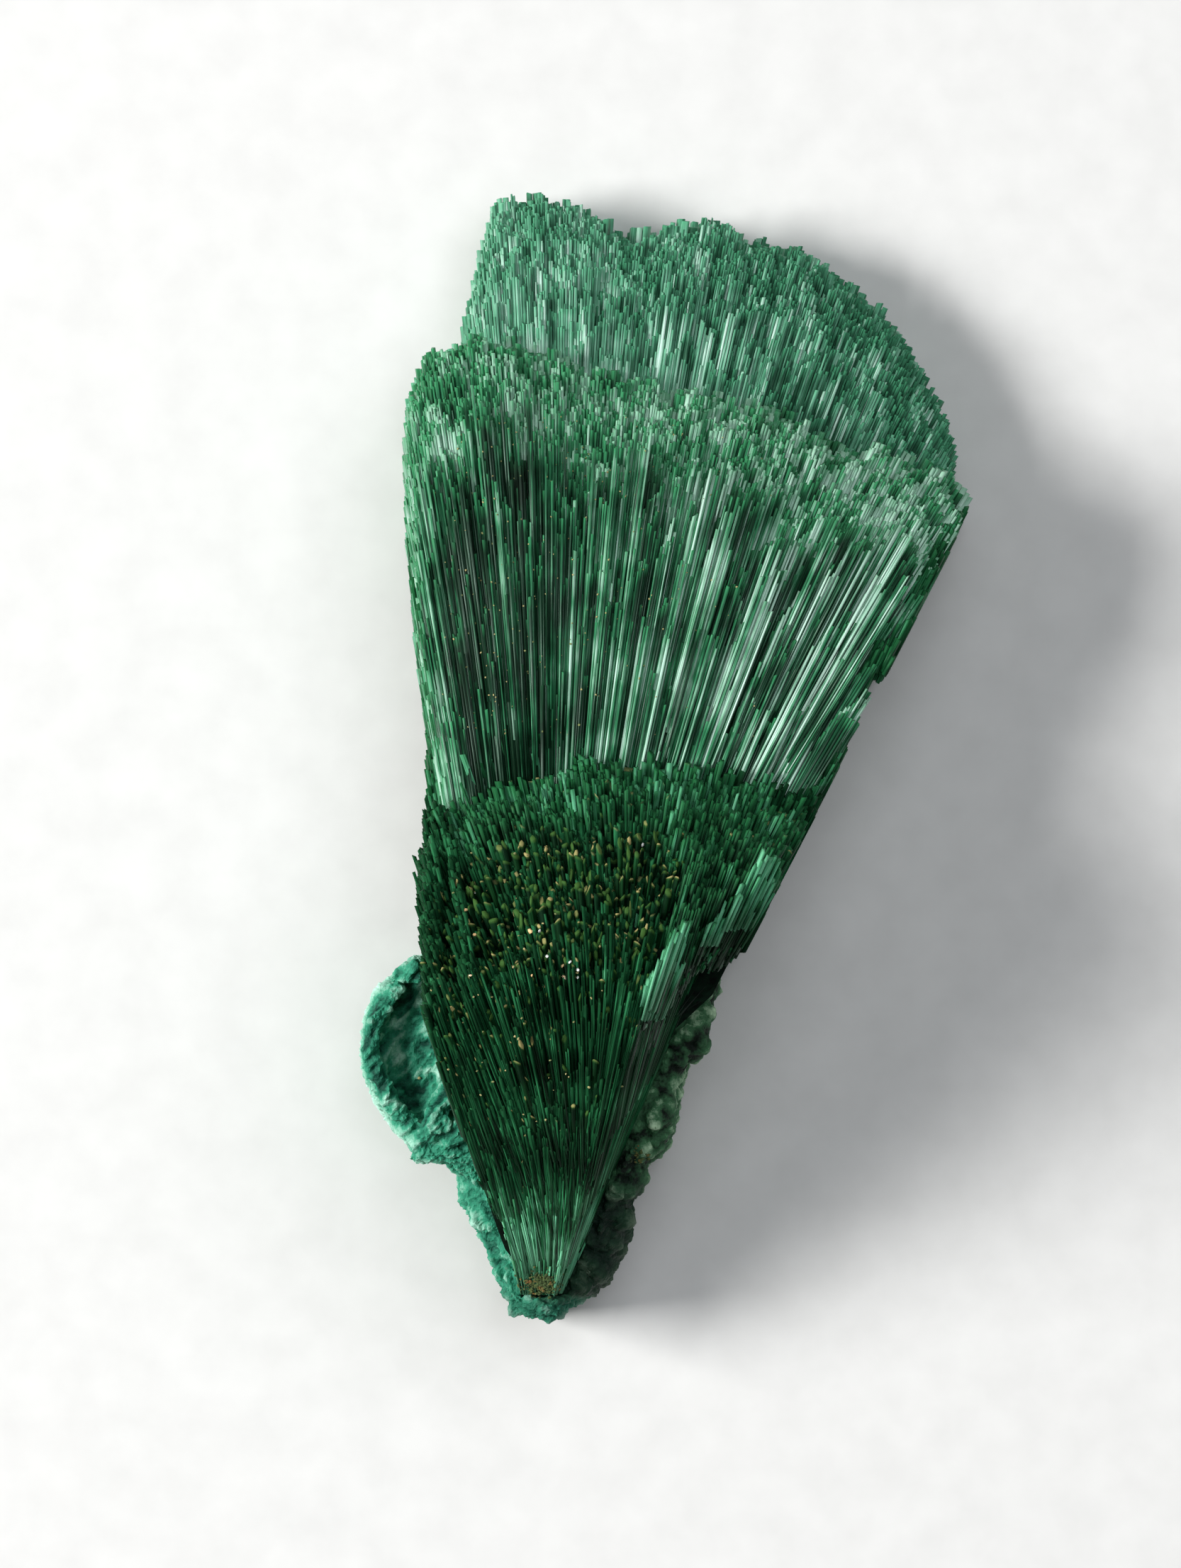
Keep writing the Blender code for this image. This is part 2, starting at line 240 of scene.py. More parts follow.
def scatter(count, spread):
    """Random numbers around zero."""
    return np.array([rng.gauss(0, spread) for _ in range(count)])


def swell(sweep, lift, size, seed):
    """Smooth unevenness from about -1 to 1 over the fan, with swells this many degrees wide."""
    return np.array([noise.noise(Vector((s / size[0], v / size[1], seed)))
                     for s, v in zip(sweep, lift)]) * 1.6


def clumps(sweep, lift, size, seed):
    """A number from -1 to 1 for each clump of needles, clumps this many degrees wide."""
    found = []
    for s, v in zip(sweep, lift):
        near = noise.voronoi(Vector((s / size[0], v / size[1], seed)))[1][0]
        found.append(noise.cell(near * 977) * 2 - 1)
    return np.array(found)


class Fibres:
    """Needles side by side in their splinters, each with its own place and size."""

    def __init__(self, rows, fibre, turn=0.2, lean=0.03, rise=0.02, top=None):
        sweep, lift, wide, tall = rows
        inside = lift < (top or level(TOP_LIFT, sweep))
        sweep, lift, wide, tall = (part[inside] for part in (sweep, lift, wide, tall))
        number = np.maximum(1, np.round(wide / level(fibre, lift))).astype(int)
        self.of = np.repeat(np.arange(len(sweep)), number)
        shares = np.array([rng.uniform(0.6, 1.5) for _ in self.of])
        totals = np.bincount(self.of, shares)[self.of]
        before = np.cumsum(shares) - shares
        before -= before[np.cumsum(number) - number][self.of]
        beside = ((before + shares / 2) / totals - 0.5) * wide[self.of]
        spin = scatter(len(sweep), turn)[self.of]
        far = reach(sweep, lift)[self.of]
        self.count = len(self.of)
        level_far = far * np.cos(np.radians(lift[self.of]))
        self.sweep = sweep[self.of] + np.degrees(beside * np.cos(spin) / level_far)
        self.lift = lift[self.of] + np.degrees((beside * np.sin(spin)
                                                + scatter(self.count, rise)) / far)
        self.wide = shares / totals * wide[self.of]
        self.tall = tall[self.of]
        self.spin = spin + scatter(self.count, 0.1)
        self.lean = np.stack([scatter(len(sweep), lean), scatter(len(sweep), lean)], 1)[self.of]
        self.splinter = (sweep, lift)
        self.tone = (clumps(sweep, lift, (0.8, 0.5), 5) * 0.06
                     + scatter(len(sweep), 0.06))[self.of] + scatter(self.count, 0.12)
        self.capped = np.zeros(self.count)
        self.stain = np.zeros(self.count)
        self.splay = np.zeros(self.count)    # degrees by which it leans out more than its sweep
        self.dip = np.zeros(self.count)      # degrees by which it lies flatter than its lift

    def ragged(self, steps, face, single, seed):
        """How far each end stands out: by clump, by splinter with its long breaks, and singly."""
        sweep, lift = self.splinter
        far = clumps(sweep, lift, (1.3, 1.1), seed)
        near = clumps(sweep, lift, (0.6, 0.5), seed + 3)
        return (steps * (0.55 * far + 0.45 * near + scatter(len(sweep), 0.35)))[self.of] \
            + face * (0.4 * near + scatter(len(sweep), 0.55))[self.of] \
            + scatter(self.count, single)


LATH = [(-1, -1), (1, -1), (0.85, 1), (-0.85, 0.8)]
ROD = [(math.cos(a), math.sin(a)) for a in np.arange(6) * math.pi / 3 + 0.3]
# Tone added near the root makes the needles paler and more streaked there: painted light.
ROOT_PAINTED_LIGHT = [(3.4, 0.7), (7, 0.6), (10, 0.35), (14, 0.04), (20, 0)]   # added tone by distance


def needle_mesh(name, material, outline, fibres, start, end, chamfer=0, blunt=0.95,
                slant=0.05, fill=0.95, uneven=0.1, hinge=0):
    """Joined mesh of closed needles that fan out from the focus, slanted at their tips.

    Splay and dip turn a needle about its tip, or about the hinge, a share of its length behind.
    """
    count = fibres.count
    sides = len(outline)
    start = np.maximum(start, ROOT / way(fibres.sweep, fibres.lift)[:, 1])
    start = np.minimum(start, end - 0.5)
    shape = np.array(outline)[None] * (1 + np.array([[rng.uniform(-uneven, uneven)] * 2
                                       for _ in range(count * sides)]).reshape(count, sides, 2))
    across = shape[..., 0] * (fibres.wide * fill / 2)[:, None]
    above = shape[..., 1] * (fibres.tall * 1.1 / 2)[:, None]
    spin = fibres.spin[:, None]
    tilt = (scatter(count, slant) / fibres.wide)[:, None] * across * 2 \
        + (scatter(count, slant) / fibres.tall)[:, None] * above * 2
    cosine = np.cos(np.radians(fibres.lift))[:, None]
    stages = [(start[:, None] + 0 * tilt, 1), (end[:, None] + tilt, blunt)]
    if chamfer:
        stages.insert(1, (end[:, None] - chamfer + tilt, 1))
    pivot = (end - (end - start) * hinge)[:, None]
    rings = []
    tones = []
    for distance, size in stages:
        part = (distance - start[:, None]) / (end - start)[:, None]
        back = np.minimum((pivot - distance) / distance, 0.7)
        x = (across * np.cos(spin) - above * np.sin(spin)) * size + fibres.lean[:, :1] * part
        y = (across * np.sin(spin) + above * np.cos(spin)) * size + fibres.lean[:, 1:] * part
        sweep = fibres.sweep[:, None] - fibres.splay[:, None] * back
        lift = fibres.lift[:, None] + fibres.dip[:, None] * back
        # Paler towards the root: painted light.
        painted_root_light = level(ROOT_PAINTED_LIGHT, distance)
        tones.append(fibres.tone[:, None] * (1 + 2 * painted_root_light) + painted_root_light)
        rings.append(FOCUS + way(sweep + np.degrees(x / (end[:, None] * cosine)),
                                 lift + np.degrees(y / end[:, None])) * distance[..., None])
    points = np.stack(rings, 1).reshape(-1, 3)
    points[:, 2] = np.maximum(points[:, 2], 0)
    each = len(stages) * sides

    n = np.arange(sides)
    side = np.stack([n, n + sides, (n + 1) % sides + sides, (n + 1) % sides], -1).ravel()
    one = np.concatenate([side + sides * k for k in range(len(stages) - 1)]
                         + [n, n[::-1] + each - sides])
    corners = (np.arange(count) * each)[:, None] + one[None]
    lengths = np.array([4] * (each - sides) + [sides] * 2)
    starts = np.arange(count)[:, None] * lengths.sum() + (np.cumsum(lengths) - lengths)[None]
    mesh = bpy.data.meshes.new(name)
    mesh.vertices.add(len(points))
    mesh.vertices.foreach_set("co", (points * MM).ravel())
    mesh.loops.add(corners.size)
    mesh.loops.foreach_set("vertex_index", corners.ravel())
    mesh.polygons.add(starts.size)
    mesh.polygons.foreach_set("loop_start", starts.ravel())
    mesh.update(calc_edges=True)

    to_tip = [chamfer] * (len(stages) - 2) + [0]
    long = np.stack([np.repeat((end - start)[:, None], sides, 1)]
                    + [0 * tilt + from_tip for from_tip in to_tip], 1)
    own_place = np.repeat(scatter(count, 30), each)
    marks = {"growth": np.stack([np.tile(across, (1, len(stages))).ravel() + own_place,
                                 np.tile(above, (1, len(stages))).ravel(),
                                 long.ravel() + own_place], -1),
             "look": np.stack([np.stack(tones, 1).ravel(), long.ravel(),
                               np.repeat(fibres.capped, each)], -1),
             "stain": np.repeat(fibres.stain, each)}
    for mark, values in marks.items():
        kind, field = ("FLOAT", "value") if values.ndim == 1 else ("FLOAT_VECTOR", "vector")
        mesh.attributes.new(mark, kind, "POINT").data.foreach_set(field, values.ravel())
    mesh.materials.append(bpy.data.materials[material])
    made = bpy.data.objects.new(name, mesh)
    bpy.context.scene.collection.objects.link(made)
    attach(made, "root")
    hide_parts("malachite_spray")


def silky(name, deep, shaft, pale, root, tip, tip_length, tip_share, rough, shine, sheen):
    """Material of silky needles: pale and deep fibres side by side, the pale ones partly a painted
    sheen, with a clean broken tip.
    """
    tree, shader = new_material(name)
    growth = add(tree, "Attribute", {"attribute_name": "growth"}).outputs["Vector"]
    look = add(tree, "SeparateXYZ", {}, {0: add(tree, "Attribute",
               {"attribute_name": "look"}).outputs["Vector"]})
    stain = add(tree, "Attribute", {"attribute_name": "stain"}).outputs["Fac"]
    place = add(tree, "TexCoord").outputs["Object"]
    # Silk: the finest fibres are 0.05 mm apart within each needle and run along it.
    drawn_out = add(tree, "VectorMath", {"operation": "MULTIPLY"}, {0: growth, 1: (14, 14, 0.6)})
    lines = add(tree, "TexNoise", {}, {"Vector": drawn_out.outputs[0], "Scale": 1, "Detail": 2})
    patches = add(tree, "TexNoise", {}, {"Vector": place, "Scale": 350, "Detail": 3})
    mixed = add(tree, "Math", {"operation": "MULTIPLY_ADD"},
                {0: patches.outputs["Fac"], 1: 0.9, 2: look.outputs["X"]})
    fine = add(tree, "Math", {"operation": "MULTIPLY_ADD"},
               {0: lines.outputs["Fac"], 1: 0.7, 2: mixed.outputs[0]})
    shifted = add(tree, "Math", {"operation": "SUBTRACT"}, {0: fine.outputs[0], 1: 0.3})
    colours = [(0.25, deep), (0.55, shaft), (0.85, pale), (1, root)]
    body = add(tree, "ValToRGB", {"stops": colours}, {0: shifted.outputs[0]})
    near_tip = add(tree, "MapRange", {}, {0: look.outputs["Y"], 1: 0.0, 2: tip_length,
                                          3: 1.0, 4: 0.0})
    some = add(tree, "Math", {"operation": "MULTIPLY"}, {0: near_tip.outputs[0], 1: tip_share})
    tipped = add(tree, "Mix", {"data_type": "RGBA"},
                 {0: some.outputs[0], 6: body.outputs["Color"], 7: linear(tip)})
    end_only = add(tree, "MapRange", {}, {0: look.outputs["Y"], 1: 0.02, 2: 0.1, 3: 1.0, 4: 0.0})
    tan_end_share = add(tree, "Math", {"operation": "MULTIPLY"},
                {0: look.outputs["Z"], 1: end_only.outputs[0]})
    tan = add(tree, "Mix", {"data_type": "RGBA"},
              {0: tan_end_share.outputs[0], 6: tipped.outputs[2], 7: linear("A39562")})
    dirty = add(tree, "Mix", {"data_type": "RGBA"},
                {0: stain, 6: tan.outputs[2], 7: linear("0C150D")})
    tree.links.new(dirty.outputs[2], shader.inputs["Base Color"])
    worn = add(tree, "MapRange", {}, {0: lines.outputs["Fac"], 3: rough, 4: rough + 0.25})
    tree.links.new(worn.outputs[0], shader.inputs["Roughness"])
    shader.inputs["IOR"].default_value = 1.75
    shader.inputs["Specular IOR Level"].default_value = shine
    shader.inputs["Specular Tint"].default_value = linear(sheen)
    bump = add(tree, "Bump", {}, {"Strength": 0.6, "Distance": 0.00002,
                                  "Height": lines.outputs["Fac"]})
    tree.links.new(bump.outputs[0], shader.inputs["Normal"])


# Pale greyish malachite, its paleness partly a painted sheen, with a dull silky sheen.
silky("pale_painted_sheen_malachite_laths", deep="1B4A33", shaft="66A686", pale="BEDDCD", root="BEDDCD",
      tip="4FA87A", tip_length=0.6, tip_share=0.5, rough=0.48, shine=0.25, sheen="D6F5E2")
STEP_WIDTH = [(-8, 0.25), (4, 0.3), (14, 0.42), (26, 0.5)]   # of a splinter, by sweep


def outwards(sweep, end):
    """Splay of the needles in the back steps: they spread more than lines from the focus."""
    near_tips = level([(31, 0.2), (41, 1)], end)
    off_flank = level([(FLANK_SWEEP, 0.1), (-5, 1)], sweep)
    return (0.3 * sweep - 1.2) * near_tips * off_flank


rows = [plant((LOWEST, -1.4), 0.34, BACK_SWEEPS, [(0, 0.7)]),
        plant((-1.4, 0.6), 0.15, BACK_SWEEPS, STEP_WIDTH),
        plant((0.6, 1.9), 0.13, BACK_SWEEPS, STEP_WIDTH)]
back = Fibres(np.concatenate(rows, 1), [(-1.4, 0.36), (-1.3, 0.14)])
on_face = np.clip((back.lift - 0.3) / 0.6, 0, 1)
bent = back.lift + swell(back.sweep, back.lift * 0.2, (1.1, 1), 2) * 0.22
bent = np.clip(bent, LOWEST, STEP_LIFTS[0] - 0.01)
end = reach(back.sweep, bent) + back.ragged(0.4, 0.7 * on_face, 0.12, 11)
back.splay = outwards(back.sweep, end)
back.dip = 5 * on_face
back.tone *= level([(0, 0.8), (20, 1.8)], back.sweep)
back.tone += level([(-9, 0.1), (0, 0.1), (8, 0), (25, -0.1)], back.sweep)
back.tone -= (1 - on_face) * 0.06
needle_mesh("back_step_needles", "pale_painted_sheen_malachite_laths", LATH, back, end - BACK_LENGTH, end,
            slant=0.02)

# Middle step
# The broad middle of the fan. Its rim is a brush of short square tips, and below the rim
# long fibres lie side-on for 14 mm down to the front step: fine, dull and stained dark on the
# left, with painted shade, and in flat shining splinters with deep cracks between them on the right,
# with a painted sheen.

# Fresh malachite, broken along its fibres, which shine like silk between deep green cracks.
silky("silky_malachite_laths", deep="052A17", shaft="2F7C52", pale="A8CDB9", root="B8D8C6",
      tip="3F9E64", tip_length=0.7, tip_share=0.45, rough=0.34, shine=0.38, sheen="D6F5E2")
MIDDLE_WIDTH = [(-9, 0.2), (-2, 0.28), (6, 0.45), (12, 0.65), (26, 0.8)]
CRACK_SPACING = 0.8                      # degrees between lengthwise cracks
CRACK_WIDE = 0.2                         # degrees
CRACK_DEPTH = 0.8                        # degrees of lift
FACE_LIFT = 7.6                          # needles above this lift lie along the step's face
MIDDLE_SWEEPS = (FLANK_SWEEP, 26.8)
MIDDLE_LENGTH = 12
MIDDLE_START = 25                        # nearest distance at which its needles start
# Iron stain, as (right of the focus, up from it, radius) in millimetres.
STAINS = [(-1.0, 46.9, 1.6), (-3.85, 43.9, 1.8), (-2.5, 40.7, 1.8), (-0.3, 35.1, 2.6),
          (-4.4, 36.8, 1.8), (6.0, 46.3, 1.6), (-4.9, 40.0, 1.4), (1.6, 39.5, 1.6)]
rows = [plant((1.9, 4.5), 0.3, MIDDLE_SWEEPS, [(0, 0.6)]),
        plant((4.5, FACE_LIFT), 0.17, MIDDLE_SWEEPS,
              [(place, wide * 0.6) for place, wide in MIDDLE_WIDTH]),
        plant((FACE_LIFT, 12.0), 0.13, MIDDLE_SWEEPS, MIDDLE_WIDTH)]
middle = Fibres(np.concatenate(rows, 1), [(4.4, 0.26), (4.5, 0.17), (9, 0.14)])
on_face = np.clip((middle.lift - FACE_LIFT) / 1.2, 0, 1)
bent = middle.lift + swell(middle.sweep, middle.lift * 0.2, (1.0, 1), 4) * 0.2
bent = np.clip(bent, STEP_LIFTS[0], STEP_LIFTS[1] - 0.01)
long_breaks = level([(0, 2.3), (20, 3.2)], middle.sweep) * on_face
end = reach(middle.sweep, bent) + middle.ragged(0.4, long_breaks, 0.12, 13)
end += scatter(middle.count, 1) * on_face * level([(-9, 1.0), (6, 0.7), (20, 0.3)], middle.sweep)
end = np.minimum(end, level(MIDDLE_REACH, middle.sweep) + 0.4)
strand = middle.sweep * (45 / end) ** 0.42
cracks = [(-8 + CRACK_SPACING * (i + rng.uniform(-0.4, 0.4)), rng.uniform(0.1, 1.2))
          for i in range(38)]
crack = np.zeros(middle.count)
for centre, deep in cracks:
    near = np.clip(1.4 - np.abs(strand - centre) / CRACK_WIDE, 0, 1)
    crack = np.maximum(crack, near * deep * float(level([(-6, 0.1), (4, 0.4), (10, 1)], centre)))
middle.lift = middle.lift - crack * CRACK_DEPTH * on_face
middle.splay = outwards(middle.sweep, end)
middle.dip = 6 * on_face
# Darker on the left, paler and more varied towards the right, and the rim's tips paler towards the
# right: painted shade and painted sheen.
middle.tone *= level([(-9, 0.9), (8, 1.0), (20, 2.0)], middle.sweep)
middle.tone += level([(-10, 0.12), (-8.4, 0.02), (-6.5, -0.22), (1, -0.15), (8, -0.02),
                      (15, 0.09), (26, 0.18)], middle.sweep) * on_face
middle.tone += level([(-9, 0.1), (10, 0.2), (26, 0.34)], middle.sweep) * (1 - on_face)
streak = np.array([noise.noise(Vector((s * 1.1, e * 0.06, 3.3))) for s, e in zip(strand, end)])
middle.tone += streak * 0.2 * on_face
flat = way(middle.sweep, middle.lift) * end[:, None]
for right, up, radius in STAINS:
    away = np.hypot((flat[:, 0] - right) * 1.3, flat[:, 1] - up) / radius
    patchy = 0.75 + 0.5 * streak + scatter(middle.count, 0.15)
    middle.stain = np.maximum(middle.stain, np.clip((1.25 - away) * patchy, 0, 0.8))
needle_mesh("middle_step_needles", "silky_malachite_laths", LATH, middle,
            np.maximum(end - MIDDLE_LENGTH, MIDDLE_START), end, slant=0.02)

# Front step
# The youngest needles make a dark velvety dome. Their ends stand apart and point at the
# viewer, each rounded and many with a tan end. The needles on the right are
# broken off at their lower end as well, so the fan has a ledge there.

# Young malachite, deeper green and softer in its shine.
silky("soft_malachite_laths", deep="031A0A", shaft="15502C", pale="5AA27C", root="6DB48C",
      tip="2A7342", tip_length=0.7, tip_share=0.4, rough=0.4, shine=0.22, sheen="8FD6A8")
# Seen end-on, the needles swallow the light like velvet, and only their tips are olive.
silky("velvet_malachite_rods", deep="020D05", shaft="08280F", pale="1A4A27", root="3A8658",
      tip="46682F", tip_length=0.22, tip_share=0.65, rough=0.5, shine=0.15, sheen="6FBF8A")
silky("velvet_malachite_fibres", deep="061C0E", shaft="113D22", pale="2C7248", root="6DB48C",
      tip="234F2D", tip_length=0.3, tip_share=0.2, rough=0.5, shine=0.08, sheen="6FBF8A")
FRONT_LEFT, FRONT_RIGHT = -17.6, 26.9    # sweeps
DOME_RIGHT = 16.5                        # sweep where the dome ends and the ledge begins
LEDGE_WIDTH = [(16, 0.35), (27, 0.6)]


def left_start(sweep, shortest):
    """Where needles at the left edge start: the fan narrows towards the root."""
    edges = [(sweep_there, up) for up, sweep_there in reversed(LEFT_EDGE)]
    return np.maximum(level(edges, sweep), shortest)


def broken_start(fibres, shortest):
    """Where needles start: those above the broken face on the right end in its ledge."""
    above = fibres.lift > level(LOWER_TOP, fibres.sweep)
    lowest = level(LEDGE, fibres.sweep) / way(fibres.sweep, fibres.lift)[:, 1]
    return np.where(above, lowest + scatter(fibres.count, 0.5), shortest)


FRONT_SPLAY = [(-17, -12), (-9, -13), (9, -10), (13, -3), (21, -2), (25, 3)]   # by sweep
DOME_LIFT = 22.0                         # needles above this lift end in rounded dark tips
FRONT_LENGTH = 8

rows = [plant((12.0, 14.5), 0.3, (FRONT_LEFT, FRONT_RIGHT), [(0, 0.6)]),
        plant((14.5, DOME_LIFT), 0.2, (FRONT_LEFT, FRONT_RIGHT), [(0, 0.3)]),
        plant((DOME_LIFT, 28.0), 0.2, (DOME_RIGHT - 3, FRONT_RIGHT), [(0, 0.3)])]
rim = Fibres(np.concatenate(rows, 1), [(14.4, 0.3), (14.5, 0.19)], lean=0.06)
end = reach(rim.sweep, rim.lift) + rim.ragged(0.7, 0, 0.25, 17)
rim.capped = np.clip(scatter(rim.count, 0.5) - 0.8, 0, 1)
rim.splay = level(FRONT_SPLAY, rim.sweep)
rim.tone -= level([(14, -0.08), (20, 0.05), (28, 0.15)], rim.lift)
needle_mesh("front_rim_needles", "soft_malachite_laths", LATH, rim,
            broken_start(rim, left_start(rim.sweep, end - FRONT_LENGTH)), end)

cells = plant((DOME_LIFT, 44.4), 0.27, (FRONT_LEFT, DOME_RIGHT), [(0, 0.36)])
kept = level([(DOME_LIFT, 0.1), (28, 0.9), (40, 1), (42, 0.7), (44.4, 0.45)], cells[1])
kept = np.array([rng.random() < share for share in kept])
dome = Fibres(cells[:, kept], [(0, 0.6)], turn=0.6, lean=0.12)
sunk = np.abs(scatter(dome.count, 1.7)) * (scatter(dome.count, 1) > -0.4)
end = reach(dome.sweep, dome.lift) + dome.ragged(0.5, 0, 0.15, 19) - sunk
low = np.clip((dome.lift - 40) / 2, 0, 1)
end += low * (sunk * 0.8 + 0.4)
dome.capped = np.clip(scatter(dome.count, 1.0) - 0.45 + 0.8 * low * (dome.sweep < 2), 0, 1)
dome.splay = level(FRONT_SPLAY, dome.sweep)
# Sunk needles are darker: painted shade in the recesses between the tips.
dome.tone -= sunk * 0.08
needle_mesh("front_dome_needles", "velvet_malachite_rods", ROD, dome,
            broken_start(dome, left_start(dome.sweep, end - FRONT_LENGTH)), end,
            chamfer=0.06, blunt=0.65, slant=0.12, fill=0.62, uneven=0.3)

# Between the rods, and on the dome's steep face, thin dark needles lie side-on.
cells = [plant((DOME_LIFT, 40), 0.2, (FRONT_LEFT, DOME_RIGHT), [(0, 0.3)]),
         plant((40, 45.4), 0.12, (FRONT_LEFT, DOME_RIGHT), [(0, 0.2)])]
face = Fibres(np.concatenate(cells, 1), [(39.9, 0.18), (40, 0.1)], turn=0.3)
on_face = np.clip((face.lift + scatter(face.count, 0.8) - 37.5) / 5, 0, 1)
end = reach(face.sweep, face.lift) + face.ragged(0.5, 2.6 * on_face, 0.3, 23) - (1 - on_face)
face.capped = np.clip(scatter(face.count, 0.7) - 1.0, 0, 1)
face.splay = level(FRONT_SPLAY, face.sweep) * level([(-17, 0.1), (-9, 1)], face.sweep)
face.dip = 4.5 * on_face * level([(17, 0), (24, 1)], end)
face.tone = face.tone * 0.7 + 0.02
needle_mesh("front_face_needles", "velvet_malachite_fibres", LATH, face,
            broken_start(face, left_start(face.sweep, end - FRONT_LENGTH)), end, fill=0.98)

cells = plant((28.0, 44.0), 0.22, (DOME_RIGHT, FRONT_RIGHT), LEDGE_WIDTH)
ledge = Fibres(cells, [(0, 0.15)], turn=0.15)
end = reach(ledge.sweep, ledge.lift) + ledge.ragged(0.5, 2.0, 0.2, 29)
ledge.dip -= 5
ledge.tone -= 0.15
ledge.splay = level(FRONT_SPLAY, ledge.sweep)
needle_mesh("front_ledge_needles", "soft_malachite_laths", LATH, ledge,
            broken_start(ledge, end - FRONT_LENGTH), end)

# Clean splits along the ledge shine pale: a long one beside the dome, a slab and a block.
# Each is (first and last sweep, distance up where it starts, where it ends, its height, tone).
SPLITS = [(16.2, 20.3, 18.2, 20.4, 0.15, 0.25), (17.6, 19.4, 18.6, 22.4, 0.3, 0.3),
          (23.2, 26.5, 22.9, 25.4, 0.5, 0.45), (21.5, 23.2, 22.1, 22.9, 0.3, 0.45)]
SPLIT_SPACING = 0.42                     # degrees between their needles
SPLIT_LAYERS = 3
SPLIT_TOP = 41.5                         # highest lift of a split, on the dome's steep face
cells = []
for first, last, low, high, proud, tone in SPLITS:
    for sweep in np.tile(np.arange(first, last, SPLIT_SPACING), SPLIT_LAYERS):
        lift = min(float(level(TOP_LIFT, sweep)), SPLIT_TOP) - 0.2
        lift += math.degrees(proud / low) * rng.uniform(-0.4, 1)
        slope = math.cos(math.radians(sweep)) * math.cos(math.radians(lift))
        centred = 1 - abs(2 * sweep - first - last) / (last - first)
        cells.append((sweep, lift, 0.16, 0.3, (low + rng.uniform(-0.1, 0.15)) / slope,
                      (high + centred + rng.gauss(0, 0.5)) / slope, tone))
cells = np.array(cells).T
ANY_LIFT = 90                            # the splits stand proud of the surface
split = Fibres(cells[:4], [(0, 0.5)], top=ANY_LIFT)
split.tone += cells[6]
needle_mesh("ledge_split_needles", "soft_malachite_laths", LATH, split, cells[4], cells[5],
            fill=0.98)

# Sides of the fan
# Needles at the outside of the fan show their whole length: on its broken front face, on
# both flanks and underneath. They are joined end to end, so each ring of them is finer.
SIDE_DEPTH = 0.65
# Each ring is (nearest and furthest distance, width of its needles).
rings = [(3.4, 7.5, 0.1), (6.5, 12.5, 0.12), (11, 19, 0.14), (17, 28, 0.18), (25, 36, 0.2),
         (33, 44, 0.2), (41, 50, 0.2)]
side_cells = []
for nearest, furthest, size in rings:
    half_way = (nearest + furthest) / 2
    turn = math.degrees(size / half_way)
    for lift in np.arange(LOWEST, 45, turn):
        step = turn * 1.1 / math.cos(math.radians(lift))
        flat = half_way * math.cos(math.radians(lift))
        for sweep in np.arange(FRONT_LEFT, 27.4, step):
            sweep += rng.uniform(-0.3, 0.3) * step
            far = min(furthest, float(reach(sweep, lift)))
            if sweep < FLANK_SWEEP:
                left = math.degrees(far * float(way(sweep, lift)[0]) - FLANK)
            else:
                left = (sweep - FLANK_SWEEP) * half_way
            edges = (left, (sweep - float(level(LEFT_EDGE, flat))) * flat,
                     (float(level(RIGHT_EDGE, flat)) - sweep) * flat,
                     (float(level(LOWER_TOP, sweep)) - lift) * half_way, (lift - LOWEST) * half_way)
            depth = math.radians(min(edges))
            if -size / 3 < depth < SIDE_DEPTH and far > nearest + 1:
                side_cells.append((sweep, lift + rng.uniform(-0.3, 0.3) * turn, size * 1.15, size,
                                   nearest + rng.uniform(-1, 1) * size * 2,
                                   furthest + rng.uniform(-2, 1) * size * 4))
side_cells = np.array(side_cells).T
height = FOCUS[2] + side_cells[5] * np.sin(np.radians(side_cells[1]))
side_cells = side_cells[:, height > ON_FLOOR]
behind = (side_cells[1] < STEP_LIFTS[1]) & (side_cells[5] > 21)
near_root = side_cells[4] < 10
for name, material, chosen in (("flank_needles", "soft_malachite_laths", behind),
                               ("sheaf_needles", "velvet_malachite_fibres", ~behind & ~near_root),
                               ("root_needles", "soft_malachite_laths", near_root)):
    cells = side_cells[:, chosen]
    cells = cells[:, cells[1] < level(TOP_LIFT, cells[0])]
    edge = Fibres(cells[:4], [(0, 0.5)])
    edge.tone = edge.tone * 0.7 - 0.1 * (name == "root_needles")
    along = way(edge.sweep, edge.lift)[:, 1]
    beyond = edge.sweep > RIGHT_EDGE[0][1]
    lowest = np.where(beyond, level(LEDGE, edge.sweep), ROOT) / along
    start = np.maximum(cells[4], lowest)
    end = np.minimum(cells[5], reach(edge.sweep, edge.lift) + scatter(edge.count, 0.4))
    if name != "flank_needles":
        from_edge = edge.sweep - level(LEFT_EDGE, start * along)
        from_edge = np.minimum(from_edge, RIGHT_EDGE[0][1] - edge.sweep)
        edge.splay = level([(3.4, -2), (7, -7), (20, -8), (28, 0)], start)
        edge.splay *= np.clip(np.radians(from_edge) * start / 2, 0, 1)
    needle_mesh(name, material, LATH, edge, np.minimum(start, end - 1), end, hinge=0.5)

